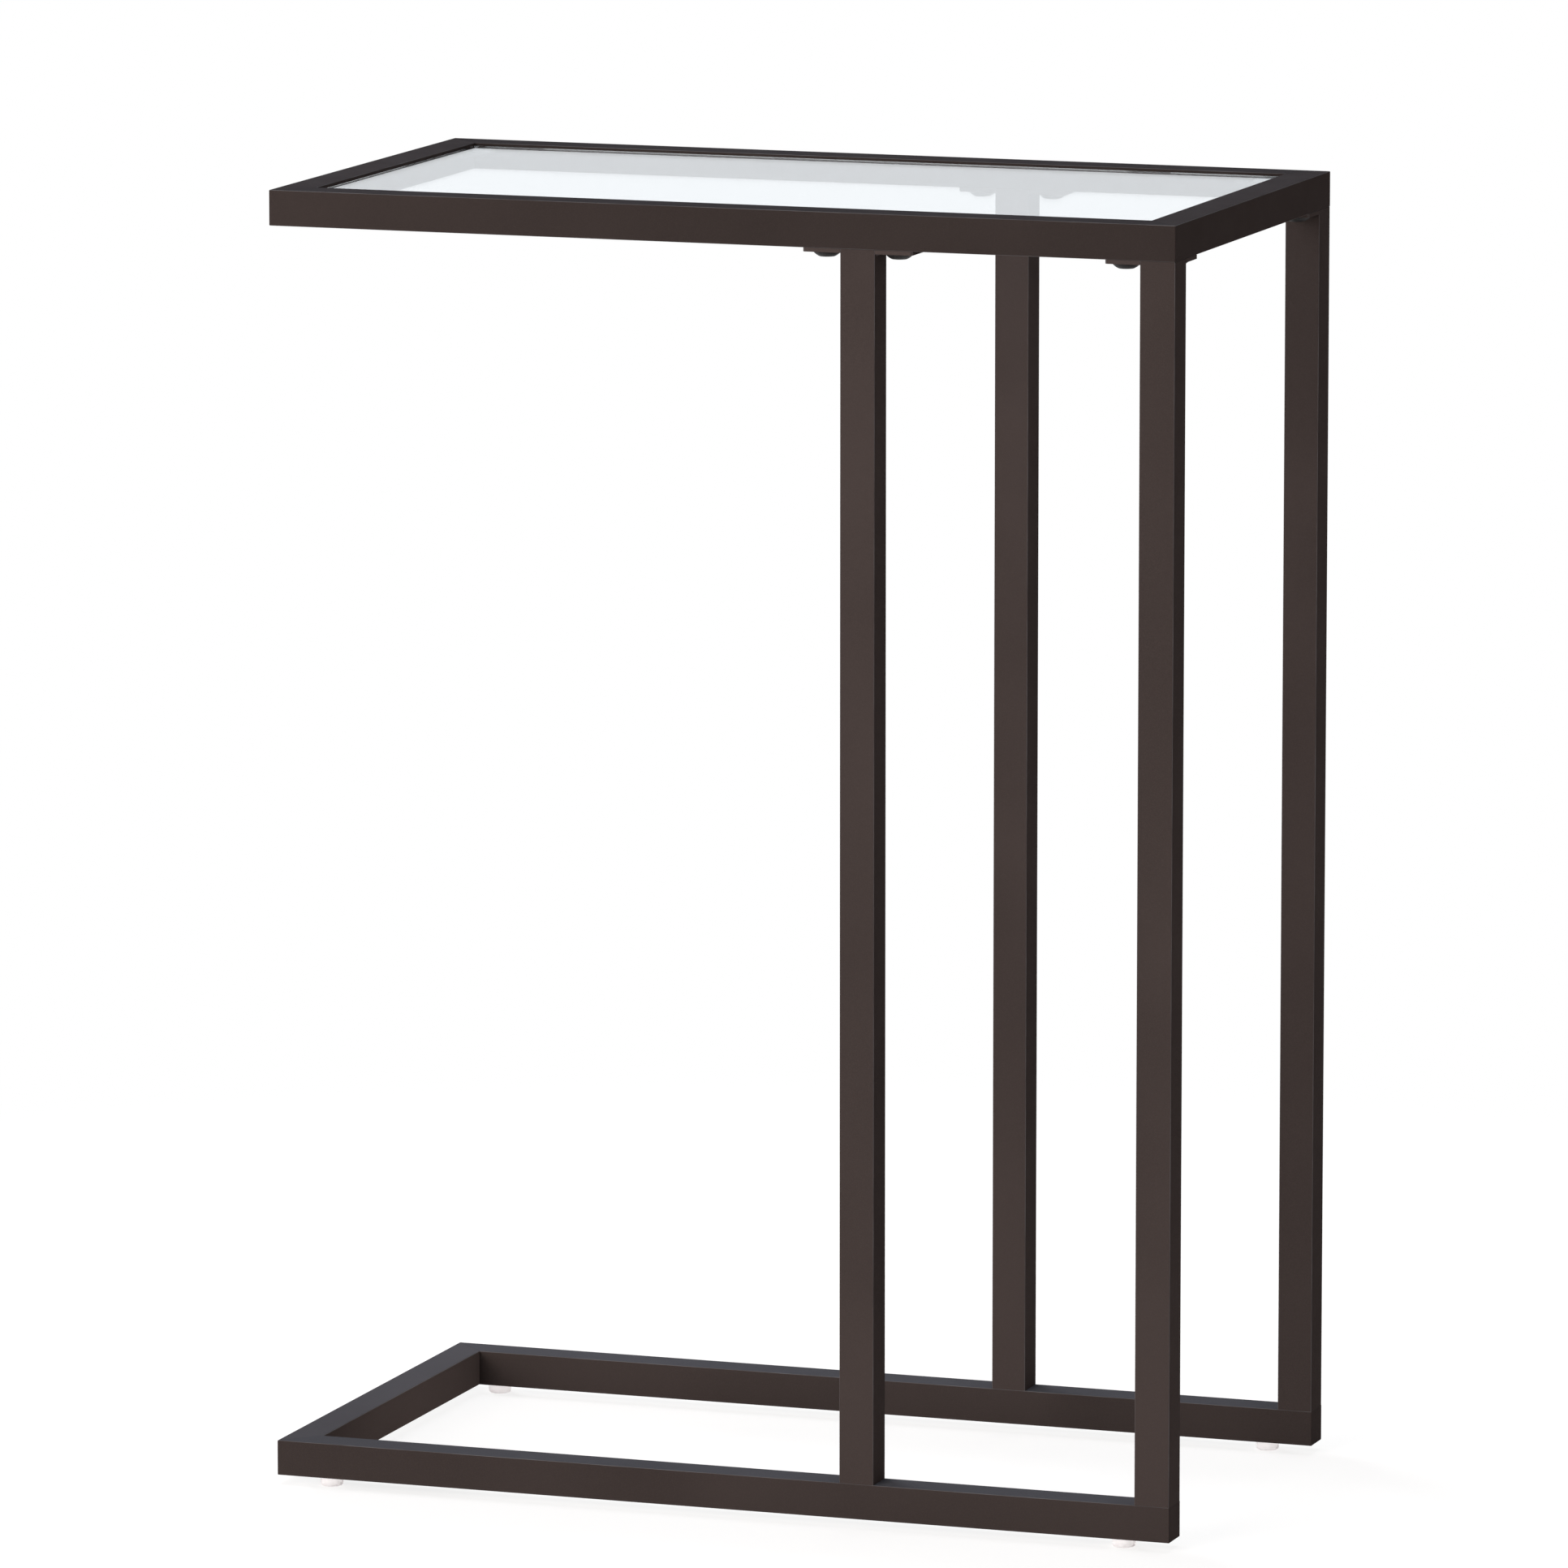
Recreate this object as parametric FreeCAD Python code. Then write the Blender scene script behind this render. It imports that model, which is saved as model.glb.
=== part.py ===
import FreeCAD, Part
import math
import os

from collections import namedtuple
from FreeCAD import Vector

# A C-shaped side table of square steel tube, with a glass pane lying in its top frame.
# The base is a U of three mitred rails, open at the legs' end. Two pairs of upright legs
# stand on it, at the open end and part of the way in, and carry the top frame, which
# reaches out over the base's closed end. Everything is bolted: from below into the legs,
# and through ears at the legs' tops into rivet nuts in the top rails.
#
# Millimetres. +Z is up, +X points to the legs' end and -Y to the front. The origin is on
# the floor, under the middle of the table's outline.

# Overall sizes
table_length = 474.0
table_depth = 258.0
table_height = 660.0
leg_pitch = 154.5               # corner legs to middle legs, centre to centre

# Square tube, the same for every rail and leg
tube_width = 18.0
tube_wall = 1.0
tube_corner = 0.5               # outside corner radius

# Glass pane, and the corner plates and pads that it lies on
glass_thickness = 5.0
glass_recess = 1.5              # from the frame's top down to the glass
glass_gap = 0.75                # clearance between the glass and the rails, all round
glass_corner = 1.5              # ground off each corner
glass_bevel = 0.4
plate_thickness = 2.0
plate_nose = 3.0                # blunt end of a corner plate, where it is welded
plate_relief = 1.2              # clipped corner that clears the frame's weld
plate_margin = 1.4              # metal left between a pad and the plate's long edge
pad_width = 9.0
pad_thickness = 1.5
pad_bevel = 0.4
pad_inset = 4.0                 # pad's edges to the rails beside it

# Ears at the legs' tops, and the screws that hold them to the top frame
ear_thickness = 2.0
ear_corner = 1.0                # clipped off each outer corner
ear_hole_offset = 9.8           # screw's centre to the leg's face
corner_ear_margin = 8.2         # screw's centre to the ear's end, on the corner legs
middle_ear_margin = 9.7         # the same on the middle legs
screw_radius = 3.0
screw_length = 12.0
screw_head_radius = 6.9
screw_head_height = 2.8
screw_head_rim = 0.5
screw_head_flat = 4.0           # radius of the head's flat face
screw_socket = 4.0              # across the flats
screw_socket_depth = 1.9
screw_clearance = 0.3           # round a screw or bolt in a plain hole
thread_clearance = 0.05         # round a screw or bolt in its nut or plug

# Flush six-sided rivet nuts, set in the top rails' lower walls
nut_flats = 9.0                 # across the body
nut_head_lip = 0.7              # how far the countersunk head stands out from the body
nut_head_height = 0.5
nut_bulge = 1.1                 # the same for the part that is squeezed out behind the wall
nut_bulge_height = 2.2
nut_length = 11.0
nut_clearance = 0.05

# Base bolts, reached through the base rails' lower walls, and the legs' threaded plugs
bolt_radius = 3.0
bolt_length = 10.0
bolt_head_radius = 5.0
bolt_head_height = 6.0
bolt_socket = 5.0
bolt_socket_depth = 3.0
access_clearance = 0.6          # round a bolt's head in its access hole
plug_height = 11.0
insert_clearance = 0.05         # round a plug or an end plate in its tube
end_plate_thickness = 2.0

# Snap-in feet, each with a square stem
foot_height = 5.0
foot_radius = 6.0
foot_inset = 26.0               # foot's centre to the table's end
foot_stem = 5.8                 # across the flats
foot_barb = 0.6                 # how far the stem's barb stands out
foot_barb_height = 2.6
foot_clearance = 0.1            # stem in its hole, and barb above the wall

# Places that follow from the sizes
tube_inside = tube_width - 2 * tube_wall
half_tube = tube_width / 2
insert_width = tube_inside - 2 * insert_clearance

left_end = -table_length / 2
right_end = table_length / 2
front_side = -table_depth / 2
back_side = table_depth / 2
front_line = front_side + half_tube
back_line = back_side - half_tube

frame_bottom = table_height - tube_width
base_bottom = foot_height
base_top = base_bottom + tube_width

corner_leg_x = right_end - half_tube
middle_leg_x = corner_leg_x - leg_pitch

glass_top = table_height - glass_recess
glass_bottom = glass_top - glass_thickness
plate_top = glass_bottom - pad_thickness
plate_bottom = plate_top - plate_thickness
plate_side = 2 * (pad_inset + pad_width) + math.sqrt(2) * plate_margin - plate_nose

ear_bottom = frame_bottom - ear_thickness

RIGHT = Vector(1, 0, 0)
LEFT = Vector(-1, 0, 0)
BACK = Vector(0, 1, 0)
FRONT = Vector(0, -1, 0)
UP = Vector(0, 0, 1)
ORIGIN = Vector(0, 0, 0)

# Each leg: where it stands, which ways its ears point, and how far they run past the screw
Leg = namedtuple("Leg", "x y ways margin")
legs = {
    "front_corner": Leg(corner_leg_x, front_line, (LEFT, BACK), corner_ear_margin),
    "front_middle": Leg(middle_leg_x, front_line, (LEFT, RIGHT), middle_ear_margin),
    "back_corner": Leg(corner_leg_x, back_line, (LEFT, FRONT), corner_ear_margin),
    "back_middle": Leg(middle_leg_x, back_line, (LEFT, RIGHT), middle_ear_margin),
}

# The two feet of each side, near the ends of its base rail
feet = {
    "feet_front": [(left_end + foot_inset, front_line), (right_end - foot_inset, front_line)],
    "feet_back": [(left_end + foot_inset, back_line), (right_end - foot_inset, back_line)],
}

# Each inside corner of the top frame, with the two ways that lead into the opening
glass_corners = {
    "front_left": (left_end + tube_width, front_side + tube_width, RIGHT, BACK),
    "front_right": (right_end - tube_width, front_side + tube_width, LEFT, BACK),
    "back_left": (left_end + tube_width, back_side - tube_width, RIGHT, FRONT),
    "back_right": (right_end - tube_width, back_side - tube_width, LEFT, FRONT),
}


# Shapes that several pieces share

def moved(shape, x, y, z):
    """A copy of a shape, moved from the origin to a place."""
    copy = shape.copy()
    copy.translate(Vector(x, y, z))
    return copy


def square_block(width, height):
    """A square bar standing on the origin."""
    return Part.makeBox(width, width, height, Vector(-width / 2, -width / 2, 0))


def tube(length):
    """Square tube standing on the origin, with its outside corners rounded."""
    bar = square_block(tube_width, length)
    upright = [edge for edge in bar.Edges if edge.BoundBox.ZLength > length / 2]
    bar = bar.makeFillet(tube_corner, upright)
    return bar.cut(square_block(tube_inside, length))


def flat_face(corners):
    """A flat face with straight sides."""
    return Part.Face(Part.makePolygon(corners + corners[:1]))


def prism(corners, height):
    """An upright prism on a level outline."""
    return flat_face(corners).extrude(UP * height)


def turned(outline):
    """A solid turned about the Z axis, from its outline's (radius, height) pairs."""
    corners = [Vector(radius, 0, height) for radius, height in outline]
    return flat_face(corners).revolve(ORIGIN, UP, 360)


def polygon(sides, across_flats, height):
    """The corners of a level, regular polygon about the Z axis."""
    corner = across_flats / 2 / math.cos(math.pi / sides)
    turns = [2 * math.pi * (side + 0.5) / sides for side in range(sides)]
    return [Vector(corner * math.cos(turn), corner * math.sin(turn), height) for turn in turns]


def faceted(sides, sections):
    """A solid through level polygons, given as (across flats, height) pairs going up."""
    rings = [polygon(sides, across_flats, height) for across_flats, height in sections]
    faces = [flat_face(rings[0][::-1]), flat_face(rings[-1])]
    for lower, upper in zip(rings[:-1], rings[1:]):
        for side in range(sides):
            faces.append(flat_face([lower[side - 1], lower[side], upper[side], upper[side - 1]]))
    shell = Part.makeShell(faces)
    shell.sewShape()
    return Part.makeSolid(shell)


def hex_socket(across_flats, depth, head_height):
    """The space of a socket in a head that hangs below the origin."""
    return faceted(6, [(across_flats, -head_height), (across_flats, depth - head_height)])


# Rails

def mitred(bar, corner, along, inward):
    """A bar cut at 45 degrees at an outside corner, from which along runs into the bar."""
    reach = 2 * tube_width
    seam = (along + inward) * reach
    waste = (inward - along) * reach
    below = corner - UP * reach
    plan = [below - seam, below + seam, below + seam + waste, below - seam + waste]
    return bar.cut(prism(plan, 2 * reach))


def rail(start, end, inward):
    """A square-cut tube lying flat between two outside corners, given at its underside."""
    run = end - start
    bar = tube(run.Length)
    middle_line = start + inward * half_tube + UP * half_tube
    bar.Placement = FreeCAD.Placement(middle_line, FreeCAD.Rotation(UP, run))
    return bar


def frame_corners(bottom):
    """The outside corners of a frame at a height, anticlockwise from the front left."""
    front_left = Vector(left_end, front_side, bottom)
    front_right = Vector(right_end, front_side, bottom)
    back_right = Vector(right_end, back_side, bottom)
    back_left = Vector(left_end, back_side, bottom)
    return front_left, front_right, back_right, back_left


def screw_places():
    """The centre of every top screw, on the top frame's underside."""
    reach = half_tube + ear_hole_offset
    places = []
    for leg in legs.values():
        top = Vector(leg.x, leg.y, frame_bottom)
        places += [top + way * reach for way in leg.ways]
    return places


def nut_seats():
    """The holes for the rivet nuts: countersunk, through the top rails' lower walls."""
    body = nut_flats + 2 * nut_clearance
    head = body + 2 * nut_head_lip
    seat = faceted(6, [(head, 0), (body, nut_head_height), (body, half_tube)])
    return [moved(seat, *place) for place in screw_places()]


def top_rails():
    """The four mitred rails round the glass."""
    front_left, front_right, back_right, back_left = frame_corners(frame_bottom)
    sides = {
        "top_front_rail": (front_left, front_right, RIGHT, BACK),
        "top_right_rail": (front_right, back_right, BACK, LEFT),
        "top_back_rail": (back_right, back_left, LEFT, FRONT),
        "top_left_rail": (back_left, front_left, FRONT, RIGHT),
    }
    rails = {}
    for name, (start, end, along, inward) in sides.items():
        bar = mitred(rail(start, end, inward), start, along, inward)
        bar = mitred(bar, end, -along, inward)
        rails[name] = bar.cut(nut_seats())
    return rails


def base_holes():
    """The holes in the base rails: under each leg for its bolt, and over each foot."""
    shank = Part.makeCylinder(bolt_radius + screw_clearance, half_tube)
    access = Part.makeCylinder(bolt_head_radius + access_clearance, half_tube)
    stem = square_block(foot_stem + 2 * foot_clearance, half_tube)
    holes = []
    for leg in legs.values():
        holes.append(moved(access, leg.x, leg.y, base_bottom))
        holes.append(moved(shank, leg.x, leg.y, base_top - half_tube))
    for pair in feet.values():
        holes += [moved(stem, x, y, base_bottom) for x, y in pair]
    return holes


def base_rails():
    """The U of rails on the floor: mitred at the left, square at the open right end."""
    front_left, front_right, back_right, back_left = frame_corners(base_bottom)
    front = mitred(rail(front_left, front_right, BACK), front_left, RIGHT, BACK)
    back = mitred(rail(back_right, back_left, FRONT), back_left, RIGHT, FRONT)
    left = mitred(rail(back_left, front_left, RIGHT), back_left, FRONT, RIGHT)
    left = mitred(left, front_left, BACK, RIGHT)
    return {
        "base_front_rail": front.cut(base_holes()),
        "base_back_rail": back.cut(base_holes()),
        "base_left_rail": left,
    }


def end_plates():
    """The plates that close the base rails' square ends, welded in flush."""
    plate = square_block(insert_width, end_plate_thickness)
    turn = FreeCAD.Rotation(UP, LEFT)
    plates = {}
    for name, y in (("front", front_line), ("back", back_line)):
        end = Vector(right_end, y, base_bottom + half_tube)
        piece = plate.copy()
        piece.Placement = FreeCAD.Placement(end, turn)
        plates["base_" + name + "_end_plate"] = piece
    return plates


# Legs

def ear(leg, way):
    """A plate welded to a leg's face, level with its top, with a hole for a screw."""
    length = ear_hole_offset + leg.margin
    plate = Part.makeBox(length, tube_width, ear_thickness, Vector(0, -half_tube, 0))
    outer = [edge for edge in plate.Edges if edge.BoundBox.XMin > length / 2]
    upright = [edge for edge in outer if edge.BoundBox.ZLength > ear_thickness / 2]
    plate = plate.makeChamfer(ear_corner, upright)
    hole = Part.makeCylinder(screw_radius + screw_clearance, ear_thickness)
    plate = plate.cut(moved(hole, ear_hole_offset, 0, 0))
    root = Vector(leg.x, leg.y, ear_bottom) + way * half_tube
    plate.Placement = FreeCAD.Placement(root, FreeCAD.Rotation(RIGHT, way))
    return plate


def plug():
    """The threaded block in a leg's foot, level with its end."""
    block = square_block(insert_width, plug_height)
    return block.cut(Part.makeCylinder(bolt_radius + thread_clearance, plug_height))


def leg_pieces():
    """The four legs, the plugs in their feet, and each side's ears."""
    upright = tube(frame_bottom - base_top)
    pieces = {"leg_plugs": Part.makeCompound([
        moved(plug(), leg.x, leg.y, base_top) for leg in legs.values()
    ])}
    ears = {"ears_front": [], "ears_back": []}
    for name, leg in legs.items():
        pieces["leg_" + name] = moved(upright, leg.x, leg.y, base_top)
        ears["ears_" + name.split("_")[0]] += [ear(leg, way) for way in leg.ways]
    for name, plates in ears.items():
        pieces[name] = Part.makeCompound(plates)
    return pieces


# Fasteners

def top_screw():
    """A wide-headed socket screw, its head hanging below the origin."""
    screw = turned([
        (0, -screw_head_height),
        (0, screw_length),
        (screw_radius, screw_length),
        (screw_radius, 0),
        (screw_head_radius, 0),
        (screw_head_radius, -screw_head_rim),
        (screw_head_flat, -screw_head_height),
    ])
    return screw.cut(hex_socket(screw_socket, screw_socket_depth, screw_head_height))


def rivet_nut():
    """A flush rivet nut, its head level with the origin and its body above."""
    bulge_top = tube_wall + nut_bulge_height
    body = faceted(6, [
        (nut_flats + 2 * nut_head_lip, 0),
        (nut_flats, nut_head_height),
        (nut_flats, tube_wall),
        (nut_flats + 2 * nut_bulge, tube_wall),
        (nut_flats, bulge_top),
        (nut_flats, nut_length),
    ])
    return body.cut(Part.makeCylinder(screw_radius + thread_clearance, nut_length))


def base_bolt():
    """A socket-head bolt, its head hanging below the origin."""
    bolt = turned([
        (0, -bolt_head_height),
        (0, bolt_length),
        (bolt_radius, bolt_length),
        (bolt_radius, 0),
        (bolt_head_radius, 0),
        (bolt_head_radius, -bolt_head_height),
    ])
    return bolt.cut(hex_socket(bolt_socket, bolt_socket_depth, bolt_head_height))


def fasteners():
    """The screws and rivet nuts at the legs' tops, and the bolts at their feet."""
    under_rail = base_top - tube_wall
    screws = [moved(top_screw(), place.x, place.y, ear_bottom) for place in screw_places()]
    nuts = [moved(rivet_nut(), *place) for place in screw_places()]
    bolts = [moved(base_bolt(), leg.x, leg.y, under_rail) for leg in legs.values()]
    return {
        "top_screws": Part.makeCompound(screws),
        "rivet_nuts": Part.makeCompound(nuts),
        "base_bolts": Part.makeCompound(bolts),
    }


# Glass and what it lies on

def glass():
    """The glass pane, with its corners cut and its edges bevelled."""
    length = table_length - 2 * tube_width - 2 * glass_gap
    depth = table_depth - 2 * tube_width - 2 * glass_gap
    start = Vector(-length / 2, -depth / 2, glass_bottom)
    pane = Part.makeBox(length, depth, glass_thickness, start)
    upright = [edge for edge in pane.Edges if edge.BoundBox.ZLength > glass_thickness / 2]
    pane = pane.makeChamfer(glass_corner, upright)
    level = [edge for edge in pane.Edges if edge.BoundBox.ZLength < glass_bevel]
    return pane.makeChamfer(glass_bevel, level)


def corner_plate(x, y, one_way, other_way):
    """A three-cornered plate, welded into an inside corner of the frame."""
    corner = Vector(x, y, plate_bottom)
    return prism([
        corner + one_way * plate_relief,
        corner + one_way * plate_side,
        corner + one_way * plate_side + other_way * plate_nose,
        corner + one_way * plate_nose + other_way * plate_side,
        corner + other_way * plate_side,
        corner + other_way * plate_relief,
    ], plate_thickness)


def glass_pad():
    """A clear square pad on the origin, with the edges round its top bevelled."""
    pad = square_block(pad_width, pad_thickness)
    upper = [edge for edge in pad.Edges if edge.BoundBox.ZMin > pad_thickness / 2]
    return pad.makeChamfer(pad_bevel, upper)


def glass_pieces():
    """The pane, and the plate and pad under each of its corners."""
    pieces = {"glass_top": glass()}
    reach = pad_inset + pad_width / 2
    for name, (x, y, one_way, other_way) in glass_corners.items():
        centre = Vector(x, y, plate_top) + (one_way + other_way) * reach
        pieces["corner_plate_" + name] = corner_plate(x, y, one_way, other_way)
        pieces["glass_pad_" + name] = moved(glass_pad(), *centre)
    return pieces


# Feet

def foot():
    """A round foot on the floor, its stem snapped through the rail's lower wall."""
    barb_bottom = foot_height + tube_wall + foot_clearance
    stem = faceted(4, [
        (foot_stem, foot_height),
        (foot_stem, barb_bottom),
        (foot_stem + 2 * foot_barb, barb_bottom),
        (foot_stem - 2 * foot_barb, barb_bottom + foot_barb_height),
    ])
    return Part.makeCylinder(foot_radius, foot_height).fuse(stem)


def feet_pieces():
    """A foot near each end of the front and back base rails."""
    pieces = {}
    for name, pair in feet.items():
        pieces[name] = Part.makeCompound([moved(foot(), x, y, 0) for x, y in pair])
    return pieces


def main():
    """Write one STEP file for each piece."""
    os.makedirs("parts", exist_ok=True)
    pieces = {}
    for group in (top_rails, base_rails, end_plates, leg_pieces, fasteners, glass_pieces, feet_pieces):
        pieces.update(group())
    for name, shape in pieces.items():
        shape.exportStep("parts/" + name + ".step")
    print(len(pieces), "pieces")


main()
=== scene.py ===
import math

import bmesh
import bpy
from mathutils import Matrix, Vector


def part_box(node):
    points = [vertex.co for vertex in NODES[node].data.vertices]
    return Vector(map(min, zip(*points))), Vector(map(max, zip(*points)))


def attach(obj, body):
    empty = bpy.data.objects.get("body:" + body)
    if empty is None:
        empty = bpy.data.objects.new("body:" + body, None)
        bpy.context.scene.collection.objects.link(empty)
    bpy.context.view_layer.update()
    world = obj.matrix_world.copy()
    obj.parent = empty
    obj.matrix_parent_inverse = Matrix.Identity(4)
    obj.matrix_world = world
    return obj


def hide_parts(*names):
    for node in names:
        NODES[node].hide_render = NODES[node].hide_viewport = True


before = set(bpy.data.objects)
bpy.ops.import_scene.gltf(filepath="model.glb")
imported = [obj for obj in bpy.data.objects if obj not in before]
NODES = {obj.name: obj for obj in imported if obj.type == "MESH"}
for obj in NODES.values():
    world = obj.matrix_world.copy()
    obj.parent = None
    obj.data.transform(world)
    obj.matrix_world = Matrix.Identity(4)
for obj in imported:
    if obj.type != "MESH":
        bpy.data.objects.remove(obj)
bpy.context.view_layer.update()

bl_info = {
    "name": "C-Shaped Side Table",
    "version": (1, 0, 0),
    "blender": (4, 5, 0),
    "location": "View3D > Sidebar > Side Table",
    "description": "Finishes and fine parts for a side table of square steel tube with a glass top",
    "category": "Object",
}

MM = 0.001
RAILS = [name for name in NODES if name.endswith("_rail")]
LEGS = ["leg_front_corner", "leg_front_middle", "leg_back_corner", "leg_back_middle"]
EARS = ["ears_front", "ears_back"]
PLATES = [name for name in NODES if name.startswith("corner_plate_") or name.endswith("_end_plate")]
PADS = [name for name in NODES if name.startswith("glass_pad_")]

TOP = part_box("top_front_rail")[1].z            # upper face of the top frame
EAR_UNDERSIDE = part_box("ears_front")[0].z
RAIL_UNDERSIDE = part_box("base_front_rail")[0].z
HALF_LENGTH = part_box("top_right_rail")[1].x
HALF_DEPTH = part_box("top_back_rail")[1].y
MITRE_OFFSET = HALF_LENGTH - HALF_DEPTH        # |x| - |y| along every mitre of the frame

# Spans of a noise's values, from most contrast to least.
MIDDLE = (0.3, 0.7)
WIDE = (0.25, 0.75)
FULL = (0.2, 0.8)


# ---------------------------------------------------------------- sizes and colours

class CoatSettings(bpy.types.PropertyGroup):
    """Powder coat on the tubes, ears and plates"""
    colour: bpy.props.FloatVectorProperty(
        name="Colour", description="Dark brown-black of the coat", subtype="COLOR",
        default=(0.056, 0.042, 0.0385), min=0, max=1)
    # Painted highlight: a pale grey along the tubes' rounded edges, standing in for the lamps'
    # glint there.
    edge_highlight_colour: bpy.props.FloatVectorProperty(
        name="Edge colour", description="Coat where it is thin over the tubes' rounded edges",
        subtype="COLOR", default=(0.16, 0.147, 0.148), min=0, max=1)
    # Painted light: a cool tone on the faces that look up, standing in for the cool light from
    # overhead; darker than the coat on the top frame, lighter on the base.
    up_face_light_colour: bpy.props.FloatVectorProperty(
        name="Upper colour", description="Cool bloom of the coat on the faces that look up",
        subtype="COLOR", default=(0.0425, 0.036, 0.0375), min=0, max=1)
    base_painted_top_light: bpy.props.FloatVectorProperty(
        name="Base upper colour", description="The same bloom on the base's upper faces",
        subtype="COLOR", default=(0.076, 0.0715, 0.078), min=0, max=1)
    up_face_light_share: bpy.props.FloatProperty(
        name="Bloom", description="How much of the bloom covers the faces that look up",
        subtype="FACTOR", default=0.85, min=0, max=1)
    speck_share: bpy.props.FloatProperty(
        name="Specks", description="Strength of the fine pale specks", subtype="FACTOR",
        default=0.22, min=0, max=1)
    roughness: bpy.props.FloatProperty(
        name="Roughness", description="Satin of the coat", subtype="FACTOR",
        default=0.82, min=0, max=1)
    sheen_level: bpy.props.FloatProperty(
        name="Specular level", description="Strength of the coat's reflection", subtype="FACTOR",
        default=0.01, min=0, max=1)
    cloud_size: bpy.props.FloatProperty(
        name="Cloud size", description="Width of the slow changes in tone", unit="LENGTH",
        default=160 * MM, min=1 * MM)
    speck_size: bpy.props.FloatProperty(
        name="Speck size", description="Width of a speck", unit="LENGTH",
        default=0.45 * MM, min=0.05 * MM)
    # The painted edge highlight comes and goes in stretches of this length.
    highlight_patch_size: bpy.props.FloatProperty(
        name="Wear size", description="Length of the worn stretches along an edge",
        unit="LENGTH", default=30 * MM, min=1 * MM)
    peel_size: bpy.props.FloatProperty(
        name="Orange peel size", description="Width of the ripples in the coat", unit="LENGTH",
        default=1.6 * MM, min=0.2 * MM)
    peel_depth: bpy.props.FloatProperty(
        name="Orange peel depth", description="Depth of the ripples in the coat", unit="LENGTH",
        default=0.012 * MM, min=0)
    seam_width: bpy.props.FloatProperty(
        name="Mitre seam width", description="Width of the dressed weld line on each mitre",
        unit="LENGTH", default=0.4 * MM, min=0)
    seam_depth: bpy.props.FloatProperty(
        name="Mitre seam depth", description="Depth of the dressed weld line on each mitre",
        unit="LENGTH", default=0.08 * MM, min=0)
    # Painted shade: the coat on the top frame and on the long base rails is darkened against the
    # legs' to stand in for the light that reaches them.
    top_painted_shade: bpy.props.FloatProperty(
        name="Top frame shade", subtype="FACTOR", default=0.72, min=0, max=1,
        description="Tone of the top frame's sides, as a share of that on the legs")
    base_painted_shade: bpy.props.FloatProperty(
        name="Base shade", subtype="FACTOR", default=0.86, min=0, max=1,
        description="Tone of the long base rails' sides, as a share of that on the legs")


class GlassSettings(bpy.types.PropertyGroup):
    """The pane and the pads that it lies on"""
    colour: bpy.props.FloatVectorProperty(
        name="Glass colour", description="Tint of clear float glass", subtype="COLOR",
        default=(0.94, 0.97, 0.985), min=0, max=1)
    pad_colour: bpy.props.FloatVectorProperty(
        name="Pad colour", description="Clear silicone of the pads", subtype="COLOR",
        default=(0.86, 0.84, 0.81), min=0, max=1)


class ScrewSettings(bpy.types.PropertyGroup):
    """Dome-headed screws up through the ears"""
    head_radius: bpy.props.FloatProperty(
        name="Head radius", description="Half the head's width", unit="LENGTH", default=6.9 * MM)
    head_height: bpy.props.FloatProperty(
        name="Head height", description="Height of the whole head", unit="LENGTH", default=2.8 * MM)
    rim: bpy.props.FloatProperty(
        name="Rim", description="Straight rim above the dome", unit="LENGTH", default=0.5 * MM)
    flat_radius: bpy.props.FloatProperty(
        name="Flat radius", description="Flat ring round the socket", unit="LENGTH",
        default=3.9 * MM)
    bulge: bpy.props.FloatProperty(
        name="Bulge", description="How far the head is a dome, and not a cone", subtype="FACTOR",
        default=0.3, min=0, max=1)
    socket_across: bpy.props.FloatProperty(
        name="Socket across flats", description="Size of the hex key", unit="LENGTH",
        default=4.0 * MM)
    socket_depth: bpy.props.FloatProperty(
        name="Socket depth", description="Depth of the hex socket", unit="LENGTH", default=1.9 * MM)
    shank_radius: bpy.props.FloatProperty(
        name="Shank radius", description="Half the thread's width", unit="LENGTH", default=3.0 * MM)
    shank_length: bpy.props.FloatProperty(
        name="Shank length", description="Length under the head", unit="LENGTH", default=12.0 * MM)
    thread_depth: bpy.props.FloatProperty(
        name="Thread depth", description="Depth of the thread's grooves", unit="LENGTH",
        default=0.45 * MM)
    colour: bpy.props.FloatVectorProperty(
        name="Colour", description="Black zinc of the screws", subtype="COLOR",
        default=(0.022, 0.0205, 0.02), min=0, max=1)


class FootSettings(bpy.types.PropertyGroup):
    """Push-in feet under the base rails"""
    radius: bpy.props.FloatProperty(
        name="Radius", description="Half the foot's width", unit="LENGTH", default=6.0 * MM)
    edge: bpy.props.FloatProperty(
        name="Edge radius", description="Rounding of the foot's lower edge", unit="LENGTH",
        default=1.2 * MM)
    draft: bpy.props.FloatProperty(
        name="Draft", description="How much narrower the foot is at its sole", unit="LENGTH",
        default=0.25 * MM)
    stem: bpy.props.FloatProperty(
        name="Stem width", description="Width of the square stem", unit="LENGTH", default=5.8 * MM)
    barb: bpy.props.FloatProperty(
        name="Barb", description="How far the stem's barb stands out over the rail's wall",
        unit="LENGTH", default=0.6 * MM)
    colour: bpy.props.FloatVectorProperty(
        name="Colour", description="Milky plastic of the feet", subtype="COLOR",
        default=(0.98, 0.94, 0.935), min=0, max=1)
    # Painted light: an emission that makes the feet glow faintly to brighten their shaded side.
    painted_glow: bpy.props.FloatProperty(
        name="Glow", description="Light that the see-through plastic carries into its shaded side",
        default=0.16, min=0)


class WeldSettings(bpy.types.PropertyGroup):
    """Fillet welds under the ears"""
    size: bpy.props.FloatProperty(
        name="Size", description="Length of the fillet's legs", unit="LENGTH", default=1.0 * MM)
    end_gap: bpy.props.FloatProperty(
        name="End gap", description="How far a weld stops short of the tube's sides",
        unit="LENGTH", default=1.0 * MM)


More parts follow.
